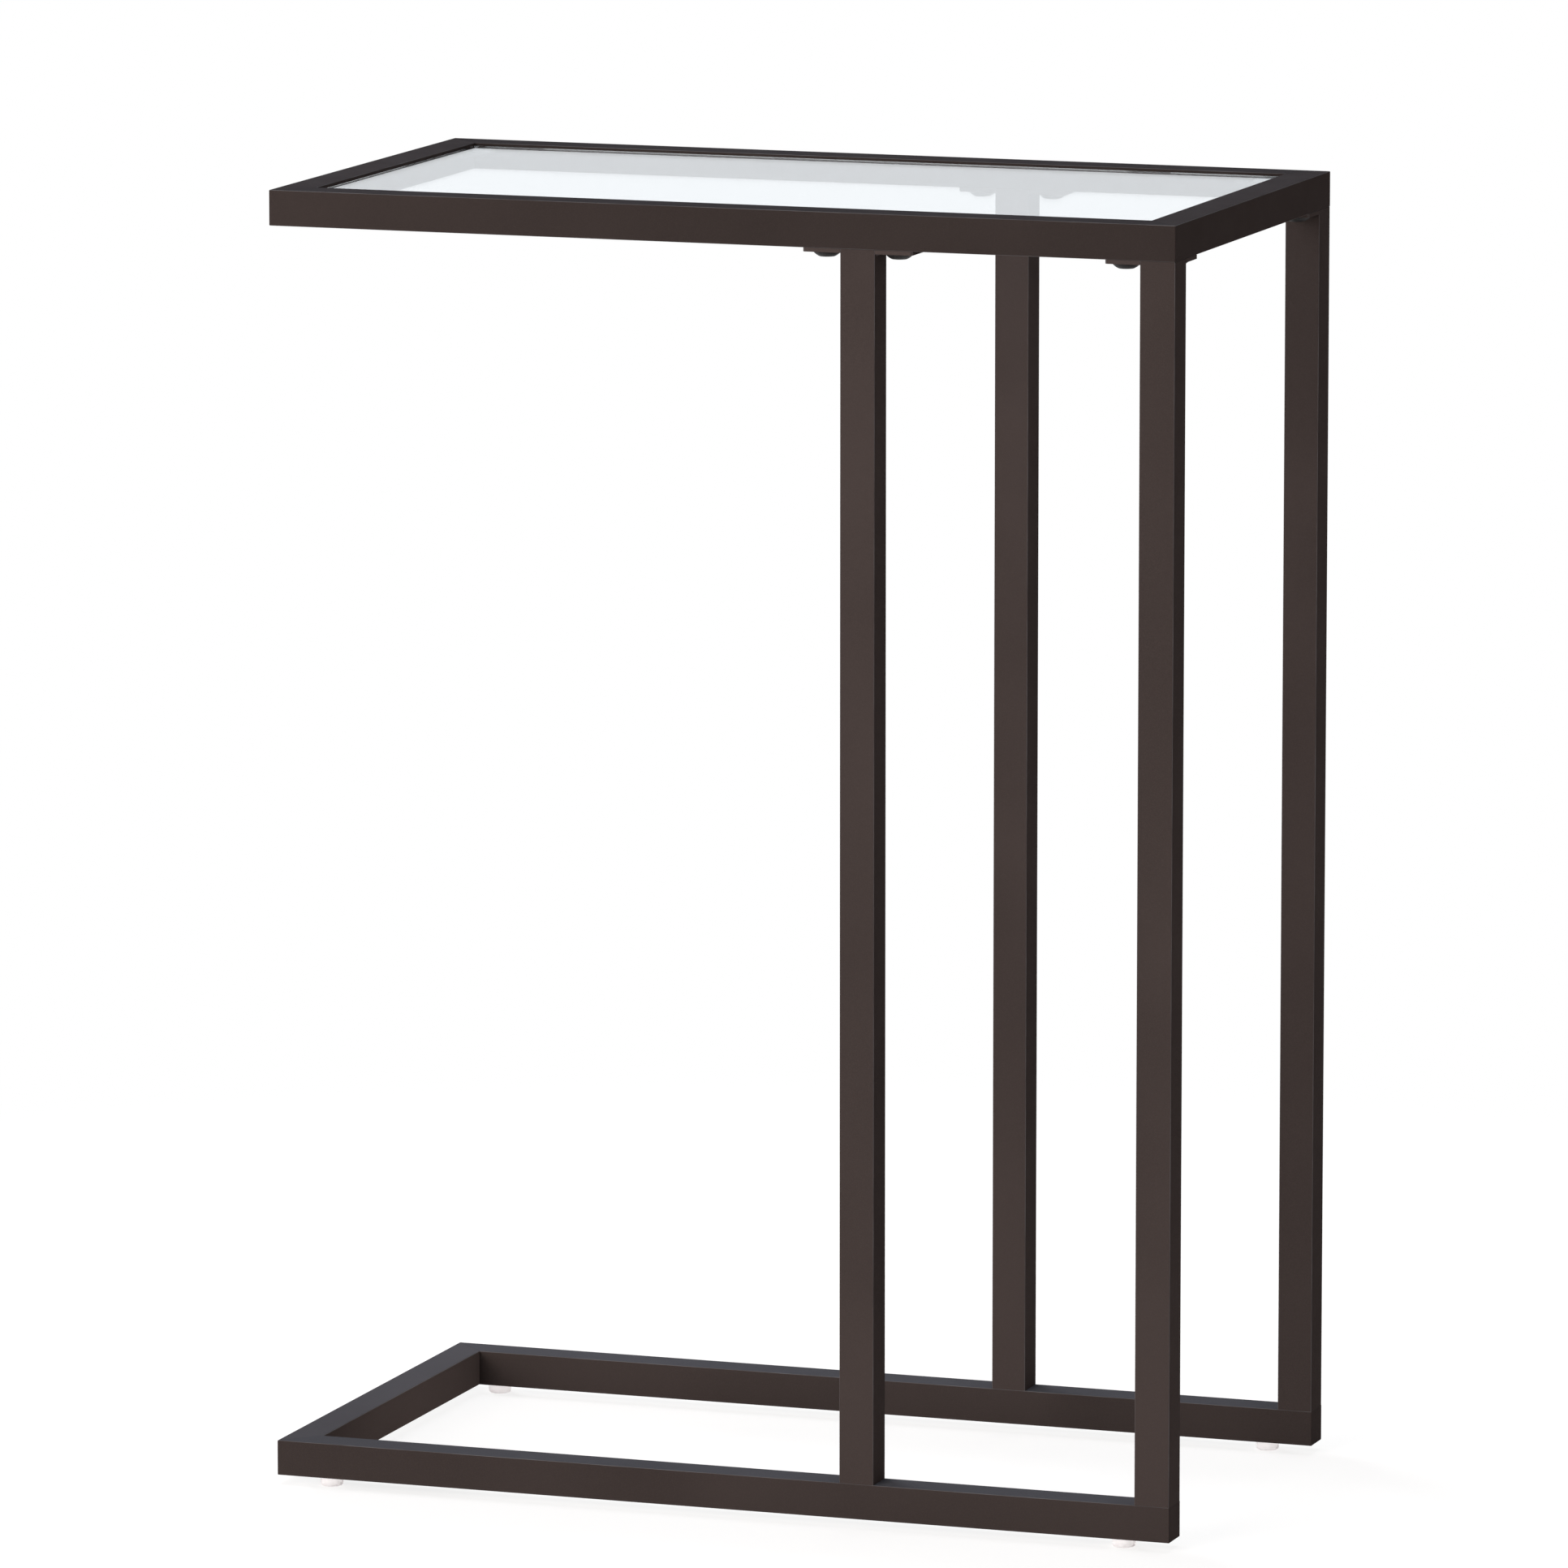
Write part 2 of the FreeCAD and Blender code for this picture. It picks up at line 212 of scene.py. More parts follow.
class StageSettings(bpy.types.PropertyGroup):
    """Floor, lamps and camera"""
    floor_size: bpy.props.FloatProperty(
        name="Floor size", description="Width of the pale floor", unit="LENGTH", default=60.0)
    key_power: bpy.props.FloatProperty(
        name="Key lamp", description="Power of the large lamp at the front left", unit="POWER",
        default=142.0)
    back_power: bpy.props.FloatProperty(
        name="Back lamp", description="Power of the low lamp behind the open end", unit="POWER",
        default=100.0)
    right_power: bpy.props.FloatProperty(
        name="Right lamp", description="Power of the weak lamp that faces the legs' end",
        unit="POWER", default=13.0)
    top_power: bpy.props.FloatProperty(
        name="Top lamp", description="Power of the cool lamp overhead", unit="POWER", default=175.0)
    low_power: bpy.props.FloatProperty(
        name="Low lamp", description="Power of the small lamp that faces the base's left rail",
        unit="POWER", default=0.02)
    fill: bpy.props.FloatProperty(
        name="Fill", description="Even light from all round", default=0.12, min=0)
    lens: bpy.props.FloatProperty(
        name="Lens", description="Focal length of the camera", unit="CAMERA", default=278.71)


SETTINGS = {
    "table_coat": CoatSettings,
    "table_glass": GlassSettings,
    "table_screws": ScrewSettings,
    "table_feet": FootSettings,
    "table_welds": WeldSettings,
    "table_stage": StageSettings,
}


# ---------------------------------------------------------------- finishes

def scaled(colour, factor):
    return tuple(min(1.0, c * factor) for c in colour)


class Finish:
    """One procedural material or world, with short calls to add and join its nodes."""

    def __init__(self, name, world=False):
        self.block = (bpy.data.worlds if world else bpy.data.materials).new(name)
        self.block.use_nodes = True
        self.tree = self.block.node_tree
        self.tree.nodes.clear()

    def add(self, kind, inputs=None, **settings):
        node = self.tree.nodes.new("ShaderNode" + kind)
        for name, value in settings.items():
            setattr(node, name, value)
        for socket, value in (inputs or {}).items():
            if isinstance(value, bpy.types.NodeSocket):
                self.tree.links.new(value, node.inputs[socket])
            else:
                node.inputs[socket].default_value = value
        return node

    def maths(self, operation, *values):
        return self.add("Math", dict(enumerate(values)), operation=operation).outputs[0]

    def place(self):
        """The point's place in the object's own frame, in metres."""
        return self.add("TexCoord").outputs["Object"]

    def ramp(self, value, low, high, to_low=0.0, to_high=1.0):
        """Value mapped smoothly from low..high to to_low..to_high."""
        inputs = {"Value": value, "From Min": low, "From Max": high,
                  "To Min": to_low, "To Max": to_high}
        return self.add("MapRange", inputs, interpolation_type="SMOOTHSTEP").outputs["Result"]

    def noise(self, place, size, detail=2.0, roughness=0.5):
        """Noise whose lumps are about size metres wide."""
        inputs = {"Vector": place, "Scale": 1 / size, "Detail": detail, "Roughness": roughness}
        return self.add("TexNoise", inputs).outputs["Fac"]

    def blend(self, share, first, second):
        """The colour between two colours, each a socket or three numbers."""
        node = self.add("Mix", {"Factor": share}, data_type="RGBA")
        for name, value in (("A", first), ("B", second)):
            socket = next(s for s in node.inputs if s.name == name and s.type == "RGBA")
            if isinstance(value, bpy.types.NodeSocket):
                self.tree.links.new(value, socket)
            else:
                socket.default_value = (*value, 1)
        return next(s for s in node.outputs if s.type == "RGBA")

    def tinted(self, share, colour, low, high):
        """A colour that goes from low to high times itself as share goes from 0 to 1."""
        return self.blend(share, scaled(colour, low), scaled(colour, high))

    def bump(self, height, depth=1.0, strength=1.0):
        """The normal of a relief whose height, times depth, is in metres."""
        inputs = {"Strength": strength, "Distance": 1.0,
                  "Height": self.maths("MULTIPLY", height, depth)}
        return self.add("Bump", inputs).outputs["Normal"]

    def surface(self, shader):
        """Joins a shader's first output to the block's output, and gives back the block."""
        kind = "OutputWorld" if isinstance(self.block, bpy.types.World) else "OutputMaterial"
        self.add(kind, {"Surface": shader.outputs[0]})
        return self.block


def frame_masks(f, place):
    """Masks of the mitred frames: the base, the rails across their ends, and the weld seams.

    The seam comes as the distance across the nearest mitre and whether that mitre is welded:
    the base is open at its right end.
    """
    split = f.add("SeparateXYZ", {"Vector": place})
    x, y, z = (split.outputs[i] for i in range(3))
    on_base = f.maths("LESS_THAN", z, TOP / 2)
    across = f.maths("SUBTRACT", f.maths("ABSOLUTE", x), f.maths("ABSOLUTE", y))
    across = f.maths("SUBTRACT", across, MITRE_OFFSET)
    welded = f.maths("MAXIMUM", f.maths("SUBTRACT", 1.0, on_base), f.maths("LESS_THAN", x, 0.0))
    end_rail = f.maths("MULTIPLY", f.maths("GREATER_THAN", across, 0.0), welded)
    return on_base, end_rail, f.maths("ABSOLUTE", across), welded


def coat(name, settings, mitred=False, highlight_share=1.0, painted_light_share=1.0):
    """Satin powder coat: cloudy and specked, with a painted cool light on the faces that look up,
    and a painted highlight in patches along the rounded edges.

    A mitred coat also has painted shade on the top frame and the long base rails, painted light on
    the rails across the ends, and a seam on each mitre.
    """
    f = Finish(name)
    place = f.place()
    # Scaling the whole colour here paints light onto a part when the share is above 1, and shade
    # when it is below.
    colour = scaled(settings.colour, painted_light_share)
    cloud = f.ramp(f.noise(place, settings.cloud_size, 3), *MIDDLE)
    tone = f.tinted(cloud, colour, 0.9, 1.12)
    specks = f.ramp(f.noise(place, settings.speck_size, 1), 0.35, 0.75)
    specks = f.maths("MULTIPLY", specks, settings.speck_share)
    tone = f.blend(specks, tone, scaled(colour, 1.5))

    # Painted light on the faces that look up, cloudy like the coat.
    up_face_light_tone = f.tinted(cloud, settings.up_face_light_colour, 0.92, 1.1)
    if mitred:
        on_base, end_rail, off_mitre, welded = frame_masks(f, place)
        # Painted shade on the top frame and the long base rails; the base's rail across its left
        # end is spared, which paints it lighter.
        painted_darkening = f.ramp(on_base, 0.0, 1.0, 1 - settings.top_painted_shade, 1 - settings.base_painted_shade)
        base_end = f.maths("MULTIPLY", end_rail, on_base)
        painted_darkening = f.maths("MULTIPLY", painted_darkening, f.maths("SUBTRACT", 1.0, base_end))
        tone = f.blend(painted_darkening, tone, (0, 0, 0))
        # On the base the painted light on the upper faces is lighter than on the top frame.
        up_face_light_tone = f.blend(on_base, up_face_light_tone, f.tinted(cloud, settings.base_painted_top_light, 0.92, 1.1))

    normal = f.add("SeparateXYZ", {"Vector": f.add("TexCoord").outputs["Normal"]})
    looks_up = f.ramp(normal.outputs["Z"], 0.7, 0.95, 0.0, settings.up_face_light_share)
    tone = f.blend(looks_up, tone, up_face_light_tone)
    sizes = [f.maths("ABSOLUTE", normal.outputs[i]) for i in range(3)]
    flatness = f.maths("MAXIMUM", f.maths("MAXIMUM", sizes[0], sizes[1]), sizes[2])
    # Painted highlight along the rounded edges, patchy along each edge.
    highlight_patches = f.ramp(f.noise(place, settings.highlight_patch_size, 4), *WIDE, 0.35 * highlight_share, highlight_share)
    edge = f.maths("MULTIPLY", f.ramp(flatness, 0.98, 0.75), highlight_patches)
    tone = f.blend(edge, tone, tuple(settings.edge_highlight_colour))

    height = f.maths("MULTIPLY", f.noise(place, settings.peel_size, 2), settings.peel_depth)
    if mitred:
        # Painted light: the rails across the frames' ends are lifted a tenth of the way towards
        # twice the coat's colour.
        tone = f.blend(f.maths("MULTIPLY", end_rail, 0.1), tone, scaled(colour, 2.0))
        seam = f.maths("MULTIPLY", f.ramp(off_mitre, settings.seam_width, 0.0), welded)
        tone = f.blend(f.maths("MULTIPLY", seam, 0.3), tone, scaled(colour, 0.4))
        height = f.maths("SUBTRACT", height, f.maths("MULTIPLY", seam, settings.seam_depth))

    spread = 0.06
    satin = f.ramp(f.noise(place, 20 * MM, 4), *WIDE,
                   settings.roughness - spread, settings.roughness + spread)
    return f.surface(f.add("BsdfPrincipled", {
        "Base Color": tone, "Roughness": satin, "Normal": f.bump(height),
        "Specular IOR Level": settings.sheen_level}))


def clear_glass(settings):
    """Float glass: polished faces with faint wipe marks, and a very slight wave."""
    f = Finish("clear_float_glass")
    place = f.place()
    wave = f.noise(place, 90 * MM, 1)
    along = f.add("Mapping", {"Vector": place, "Scale": (1.0, 5.0, 1.0)}).outputs["Vector"]
    wipes = f.ramp(f.noise(along, 50 * MM, 5, 0.65), 0.52, 0.8, 0.0, 0.045)
    glass = f.add("BsdfPrincipled", {
        "Base Color": (*settings.colour, 1), "Roughness": wipes,
        "Normal": f.bump(wave, 0.01 * MM, 0.5), "IOR": 1.5, "Transmission Weight": 1.0})
    thin = f.add("BsdfTransparent", {"Color": (0.9, 0.92, 0.93, 1)})
    shadow = f.add("LightPath").outputs["Is Shadow Ray"]
    return f.surface(f.add("MixShader", {0: shadow, 1: glass.outputs[0], 2: thin.outputs[0]}))


def silicone(settings):
    """Clear soft pads with a slightly cloudy body."""
    f = Finish("clear_pad_silicone")
    haze = f.noise(f.place(), 2 * MM, 3)
    return f.surface(f.add("BsdfPrincipled", {
        "Base Color": f.tinted(f.ramp(haze, *MIDDLE), settings.pad_colour, 0.93, 1.0),
        "Roughness": f.ramp(haze, *FULL, 0.32, 0.45),
        "Normal": f.bump(haze, 0.05 * MM, 0.3), "Transmission Weight": 0.6, "IOR": 1.41}))


def black_zinc(colour):
    """Black plating: fine turning rings round each screw, rubbed brighter in patches."""
    f = Finish("black_zinc")
    place = f.place()
    grain = f.noise(place, 1.2 * MM, 4, 0.6)
    rings = f.add("TexWave", {"Vector": place, "Scale": 900.0, "Distortion": 0.4, "Detail": 1.0},
                  wave_type="RINGS", rings_direction="Z").outputs["Fac"]
    height = f.maths("ADD", f.maths("MULTIPLY", rings, 0.003 * MM),
                     f.maths("MULTIPLY", grain, 0.01 * MM))
    return f.surface(f.add("BsdfPrincipled", {
        "Base Color": f.tinted(f.ramp(grain, 0.35, 0.75), colour, 0.8, 1.8),
        "Roughness": f.ramp(grain, *FULL, 0.42, 0.58), "Normal": f.bump(height, 1.0, 0.6),
        "Metallic": 0.3, "Specular IOR Level": 0.12}))


def bright_zinc():
    """Zinc plate on the nuts and plugs: grey with a faint yellow passivation."""
    f = Finish("bright_zinc")
    film = f.noise(f.place(), 4 * MM, 4)
    return f.surface(f.add("BsdfPrincipled", {
        "Base Color": f.blend(f.ramp(film, *MIDDLE), (0.5, 0.5, 0.5), (0.62, 0.6, 0.52)),
        "Roughness": f.ramp(film, *FULL, 0.28, 0.42),
        "Normal": f.bump(film, 0.02 * MM, 0.5), "Metallic": 1.0}))


def milky_plastic(settings):
    """Moulded, slightly see-through plastic with a soft grain, a sole darker in patches, and a
    painted glow that brightens its shaded side.
    """
    f = Finish("milky_foot_plastic")
    place = f.place()
    cloud = f.noise(place, 3 * MM, 3)
    tone = f.tinted(f.ramp(cloud, *MIDDLE), settings.colour, 0.95, 1.04)
    height = f.add("SeparateXYZ", {"Vector": place}).outputs["Z"]
    # Darker in patches over the bottom 0.6 mm of the foot.
    sole_darkening = f.maths("MULTIPLY", f.ramp(height, 0.6 * MM, 0.0),
                    f.ramp(f.noise(place, 0.8 * MM, 4), 0.4, 0.7))
    tone = f.blend(f.maths("MULTIPLY", sole_darkening, 0.5), tone, scaled(settings.colour, 0.6))
    grain = f.noise(place, 0.35 * MM, 2)
    return f.surface(f.add("BsdfPrincipled", {
        "Base Color": tone, "Roughness": f.ramp(cloud, *FULL, 0.52, 0.64),
        "Normal": f.bump(grain, 0.01 * MM, 0.5), "Transmission Weight": 0.6, "IOR": 1.15,
        # Painted light: a faint emission that brightens the feet's shade.
        "Emission Color": (1, 0.94, 0.94, 1), "Emission Strength": settings.painted_glow}))


def give(names, material):
    """Puts one finish on several carried-over nodes."""
    for name in names:
        mesh = NODES[name].data
        mesh.materials.clear()
        mesh.materials.append(material)


# ---------------------------------------------------------------- shapes

def ring(shape, size, height, count=72, corner=0.0):
    """A closed ring of points at one height: a circle, a square or a hexagon.

    Size is the circle's radius or the polygon's reach to its flats, and corner blunts its corners.
    """
    points = []
    for i in range(count):
        angle = 2 * math.pi * i / count
        reach = size
        if shape != "circle":
            sector = 2 * math.pi / {"square": 4, "hexagon": 6}[shape]
            off = (angle + sector / 2) % sector - sector / 2
            reach = min(size / math.cos(off), size / math.cos(sector / 2) - corner)
        points.append(Vector((reach * math.cos(angle), reach * math.sin(angle), height)))
    return points


def finished_mesh(name, made, crease):
    """The bmesh as a mesh, smooth but for edges sharper than crease degrees."""
    bmesh.ops.recalc_face_normals(made, faces=made.faces)
    mesh = bpy.data.meshes.new(name)
    made.to_mesh(mesh)
    made.free()
    mesh.polygons.foreach_set("use_smooth", [True] * len(mesh.polygons))
    mesh.set_sharp_from_angle(angle=math.radians(crease))
    return mesh


def loft(name, rings):
    """A closed mesh through the rings, with a fan over its first and last one."""
    made = bmesh.new()
    rows = [[made.verts.new(p) for p in points] for points in rings]
    count = len(rows[0])
    for low, high in zip(rows, rows[1:]):
        for i in range(count):
            j = (i + 1) % count
            made.faces.new((low[i], low[j], high[j], high[i]))
    for row, turned in ((rows[0], True), (rows[-1], False)):
        middle = made.verts.new(sum((v.co for v in row), Vector()) / count)
        for i in range(count):
            j = (i + 1) % count
            corners = (row[j], row[i], middle) if turned else (row[i], row[j], middle)
            made.faces.new(corners)
    return finished_mesh(name, made, 32)


def arc(centre, radius, start, end, steps):
    """Points (radius, height) on an arc of a turned part's outline; angles in degrees."""
    points = []
    for i in range(steps + 1):
        angle = math.radians(start + (end - start) * i / steps)
        points.append((centre[0] + radius * math.cos(angle), centre[1] + radius * math.sin(angle)))
    return points


def screw_mesh(s):
    """A dome screw, head down: socket, flat, dome, rim, then a threaded shank to its tip."""
    socket = s.socket_across / 2
    bottom = -s.head_height
    countersink, drill_point, broken_edge, fillet, tip = (
        size * MM for size in (0.2, 0.15, 0.12, 0.3, 0.8))
    rings = [
        ring("hexagon", socket * 0.98, bottom + s.socket_depth),
        ring("hexagon", socket, bottom + s.socket_depth - drill_point),
        ring("hexagon", socket, bottom + countersink),
        ring("hexagon", socket + countersink, bottom),
    ]
    rise = s.head_height - s.rim
    run = s.head_radius - s.flat_radius
    outline = [(s.flat_radius, bottom)]
    steps = 8
    for i in range(1, steps + 1):
        angle = math.radians(90 * i / steps)
        dome = (s.flat_radius + run * math.sin(angle), bottom + rise * (1 - math.cos(angle)))
        cone = (s.flat_radius + run * i / steps, bottom + rise * i / steps)
        outline.append(tuple(s.bulge * d + (1 - s.bulge) * c for d, c in zip(dome, cone)))
    outline += [(s.head_radius, -broken_edge), (s.head_radius - broken_edge, 0.0),
                (s.shank_radius + fillet, 0.0), (s.shank_radius, fillet)]
    pitch = 1.0 * MM
    for turn in range(1, round(s.shank_length / pitch) - 1):
        outline += [(s.shank_radius, turn * pitch),
                    (s.shank_radius - s.thread_depth, (turn + 0.5) * pitch)]
    outline += [(s.shank_radius, s.shank_length - tip), (s.shank_radius - tip, s.shank_length)]
    rings += [ring("circle", r, z) for r, z in outline]
    return loft("dome_screw", rings)


def foot_mesh(s, height, stem_top):
    """A push-in foot: rounded sole edge, slight draft, and a square barbed stem."""
    sole = s.radius - s.draft
    flat, shoulder, rounding, rail_wall, clearance, corner = (
        size * MM for size in (0.6, 0.1, 0.2, 1.0, 0.1, 0.3))
    outline = [(sole - s.edge - flat, 0.0)]
    outline += arc((sole - s.edge, s.edge), s.edge, -90, 0, 6)
    outline += [(s.radius - shoulder, height - 1.25 * rounding)]
    outline += arc((s.radius - shoulder - rounding, height - rounding), rounding, 0, 90, 3)
    rings = [ring("circle", r, z) for r, z in outline]
    half = s.stem / 2
    inside = height + rail_wall
    for size, z in ((half, height), (half, inside), (half + s.barb, inside + clearance),
                    (half + s.barb / 2, stem_top - 0.8 * MM), (half - s.barb, stem_top)):
        rings.append(ring("square", size, z, corner=corner))
    return loft("push_in_foot", rings)


def bead_mesh(length, size):
    """A short fillet weld along X in the corner under an ear: rippled, and tapered at its ends."""
    steps, ripples, ripple_depth = 44, 13, 0.05
    end_slope, least = 9, 0.02
    hollow, fullness = 0.86, 1.4
    made = bmesh.new()
    rows = []
    for i in range(steps + 1):
        along = i / steps
        taper = min(1.0, end_slope * along, end_slope * (1 - along)) ** 0.5
        ripple = 1 + ripple_depth * math.cos(2 * math.pi * along * ripples)
        reach = max(least, taper) * size * ripple
        x = (along - 0.5) * length
        row = [(x, 0.0, 0.0), (x, reach, 0.0)]
        for k in range(1, 6):
            angle = math.radians(15 * k)
            row.append((x, reach * (1 - hollow * math.sin(angle) ** fullness),
                        -reach * (1 - hollow * math.cos(angle) ** fullness)))
        row.append((x, 0.0, -reach))
        rows.append([made.verts.new(p) for p in row])
    for low, high in zip(rows, rows[1:]):
        for k in range(len(low)):
            m = (k + 1) % len(low)
            made.faces.new((low[k], low[m], high[m], high[k]))
    made.faces.new(rows[0])
    made.faces.new(rows[-1])
    return finished_mesh("ear_weld", made, 50)


# ---------------------------------------------------------------- places

def place_piece(name, mesh, spot, material, turn=0):
    """Links one piece to the scene, turned by degrees about Z, and lets it ride with the table."""
    piece = bpy.data.objects.new(name, mesh)
    piece.location = spot
    piece.rotation_euler = (0, 0, math.radians(turn))
    if not mesh.materials:
        mesh.materials.append(material)
    bpy.context.scene.collection.objects.link(piece)
    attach(piece, "root")
    return piece


def leg_sides(leg):
    """The two sides of a leg that carry ears: name, way outwards (x, y), and weld's turn."""
    low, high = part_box(leg)
    left = ("left", (-1, 0), 90)
    if "middle" in leg:
        return left, ("right", (1, 0), -90)
    if low.y > 0:
        return left, ("inner", (0, -1), 180)
    return left, ("inner", (0, 1), 0)


def ear_spots(reach):
    """Each ear's name, a point reach metres outside its leg on the leg's middle line, and turn."""
    for leg in LEGS:
        low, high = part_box(leg)
        middle = (low + high) / 2
        for side, way, turn in leg_sides(leg):
            x = middle.x + way[0] * ((high.x - low.x) / 2 + reach)
            y = middle.y + way[1] * ((high.y - low.y) / 2 + reach)
            yield leg.replace("leg_", "") + "_" + side, (x, y, EAR_UNDERSIDE), turn


# ---------------------------------------------------------------- stage

MIDDLE_OF_TABLE = (0, 0, TOP / 2)
# Each lamp: the setting with its power, its place, what it faces, width and height, colour,
# and spread in degrees.
LAMPS = {
    "key_lamp": ("key_power", (-1.5, -3.6, 1.2), MIDDLE_OF_TABLE, (2.4, 2.4),
                 (1.0, 0.985, 0.97), 180),
    "back_lamp": ("back_power", (-2.0, 1.6, 0.5), (0, 0, 0.3), (1.2, 0.3),
                  (0.82, 0.92, 1.0), 180),
    "right_lamp": ("right_power", (3.2, -0.6, 0.8), MIDDLE_OF_TABLE, (1.6, 1.6),
                   (1.0, 0.93, 0.9), 180),
    "top_lamp": ("top_power", (-0.2, 0.3, 6.0), MIDDLE_OF_TABLE, (3.0, 3.0),
                 (0.8, 0.9, 1.0), 180),
    "low_lamp": ("low_power", (0.03, 0, 0.05), (-0.219, 0, 0.012), (0.2, 0.02),
                 (1.0, 0.97, 0.94), 40),
}
CAMERA_PLACE = (2.01321, -5.72176, 1.32947)
CAMERA_DOWN = 9.145            # degrees that the camera looks below level
CAMERA_TURN = 19.476           # degrees that it is turned about Z from facing +Y
SENSOR_WIDTH = 36.0            # millimetres
WHITE = (1, 1, 1)
FLOOR_NEAR, FLOOR_FAR = 0.5, 1.1        # the shadow is kept up to the first, and gone at the second
FLOOR_LIGHT = (0.58, 0.54, 0.515)       # what the floor throws back at the table
FLOOR_SHADE = (0.3, 0.27, 0.25)         # the part of the seen floor that a shadow takes away
FLOOR_WHITE = 0.8                       # the part that it leaves
FILL_COLOUR = (0.85, 0.93, 1)
MIRRORED_WHITE = (0.94, 0.97, 1)


def seen_directly(f):
    """1 where the camera, a reflection or a view through glass looks straight at the stage."""
    path = f.add("LightPath")
    seen = f.maths("MAXIMUM", path.outputs["Is Camera Ray"], path.outputs["Is Glossy Ray"])
    return f.maths("MAXIMUM", seen, path.outputs["Is Transmission Ray"])


def floor_material():
    """Pale floor that shows white with the object's soft shadow, and is clear from below."""
    f = Finish("studio_floor")
    lit = f.add("BsdfDiffuse", {"Color": (*FLOOR_LIGHT, 1)})
    shaded = f.add("BsdfDiffuse", {"Color": (*FLOOR_SHADE, 1)})
    white = f.add("Emission", {"Color": (*WHITE, 1), "Strength": FLOOR_WHITE})
    near = f.add("AddShader", {0: shaded.outputs[0], 1: white.outputs[0]})
    far = f.add("Emission", {"Color": (*WHITE, 1), "Strength": 1.0})
    away = f.add("VectorMath", {0: f.place()}, operation="LENGTH").outputs["Value"]
    distance = f.ramp(away, FLOOR_NEAR, FLOOR_FAR)
    shown = f.add("MixShader", {0: distance, 1: near.outputs[0], 2: far.outputs[0]})
    above = f.add("MixShader", {0: seen_directly(f), 1: lit.outputs[0], 2: shown.outputs[0]})
    clear = f.add("BsdfTransparent")
    below = f.add("NewGeometry").outputs["Backfacing"]
    return f.surface(f.add("MixShader", {0: below, 1: above.outputs[0], 2: clear.outputs[0]}))


def studio_world(fill):
    """White where it is seen, cool white in reflections, and a soft even fill for the rest."""
    f = Finish("studio_world", world=True)
    light = f.add("Background", {"Color": (*FILL_COLOUR, 1), "Strength": fill})
    mirrored = f.add("LightPath").outputs["Is Glossy Ray"]
    colour = f.blend(mirrored, WHITE, MIRRORED_WHITE)
    white = f.add("Background", {"Color": colour, "Strength": 1.0})
    return f.surface(f.add(
        "MixShader", {0: seen_directly(f), 1: light.outputs[0], 2: white.outputs[0]}))


def area_lamp(name, power, spot, target, size, colour, spread):
    """A lamp that lights the table, and isn't seen itself."""
    light = bpy.data.lights.new(name, "AREA")
    light.shape = "RECTANGLE"
    light.size, light.size_y = size
    light.energy = power
    light.color = colour
    light.spread = math.radians(spread)
    lamp = bpy.data.objects.new(name, light)
    lamp.location = spot
    lamp.rotation_euler = (Vector(target) - Vector(spot)).to_track_quat("-Z", "Y").to_euler()
    lamp.visible_camera = False
    lamp.visible_glossy = False
    lamp.visible_transmission = False
    bpy.context.scene.collection.objects.link(lamp)


# ---------------------------------------------------------------- operators

class COATED_TUBES_OT_finish(bpy.types.Operator):
    """Powder coats the rails, legs, ears and plates"""
    bl_idname = "side_table.coat_tubes"
    bl_label = "Coat Tubes"

    def execute(self, context):
        settings = context.scene.table_coat
        give(RAILS, coat("powder_coat_mitred", settings, mitred=True))
        give(LEGS, coat("powder_coat_plain", settings))
        # Painted light: the ears' coat is a fifth lighter. Painted shade: the plates' coat is
        # darker. Both get less of the painted edge highlight.
        give(EARS, coat("powder_coat_ears", settings, highlight_share=0.35, painted_light_share=1.2))
        give(PLATES, coat("powder_coat_plates", settings, highlight_share=0.35, painted_light_share=0.86))
        return {"FINISHED"}


class GLASS_TOP_OT_finish(bpy.types.Operator):
    """Gives the pane and its pads their glass and silicone"""
    bl_idname = "side_table.finish_glass"
    bl_label = "Finish Glass"

    def execute(self, context):
        settings = context.scene.table_glass
        give(["glass_top"], clear_glass(settings))
        give(PADS, silicone(settings))
        return {"FINISHED"}


class HARDWARE_OT_finish(bpy.types.Operator):
    """Plates the bolts, rivet nuts and plugs inside the tubes"""
    bl_idname = "side_table.plate_hardware"
    bl_label = "Plate Hardware"

    def execute(self, context):
        give(["base_bolts"], black_zinc(context.scene.table_screws.colour))
        give(["rivet_nuts", "leg_plugs"], bright_zinc())
        return {"FINISHED"}


class DOME_SCREWS_OT_build(bpy.types.Operator):
    """Builds the eight dome screws up through the ears"""
    bl_idname = "side_table.build_screws"
    bl_label = "Build Dome Screws"

    def execute(self, context):
        settings = context.scene.table_screws
        mesh = screw_mesh(settings)
        material = NODES["base_bolts"].data.materials[0]
        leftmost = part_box("top_screws")[0].x + settings.head_radius
        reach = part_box("leg_front_middle")[0].x - leftmost
        for ear, spot, _ in ear_spots(reach):
            piece = place_piece(f"dome_screw_{ear}", mesh, spot, material)
            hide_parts("top_screws")
        return {"FINISHED"}


class EAR_WELDS_OT_build(bpy.types.Operator):
    """Lays a small fillet weld where each ear meets its leg"""
    bl_idname = "side_table.build_welds"
    bl_label = "Build Ear Welds"

    def execute(self, context):
        settings = context.scene.table_welds
        material = NODES[LEGS[0]].data.materials[0]
        low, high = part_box(LEGS[0])
        mesh = bead_mesh(high.x - low.x - 2 * settings.end_gap, settings.size)
        for ear, spot, turn in ear_spots(0):
            place_piece(f"weld_{ear}", mesh, spot, material, turn)
        return {"FINISHED"}


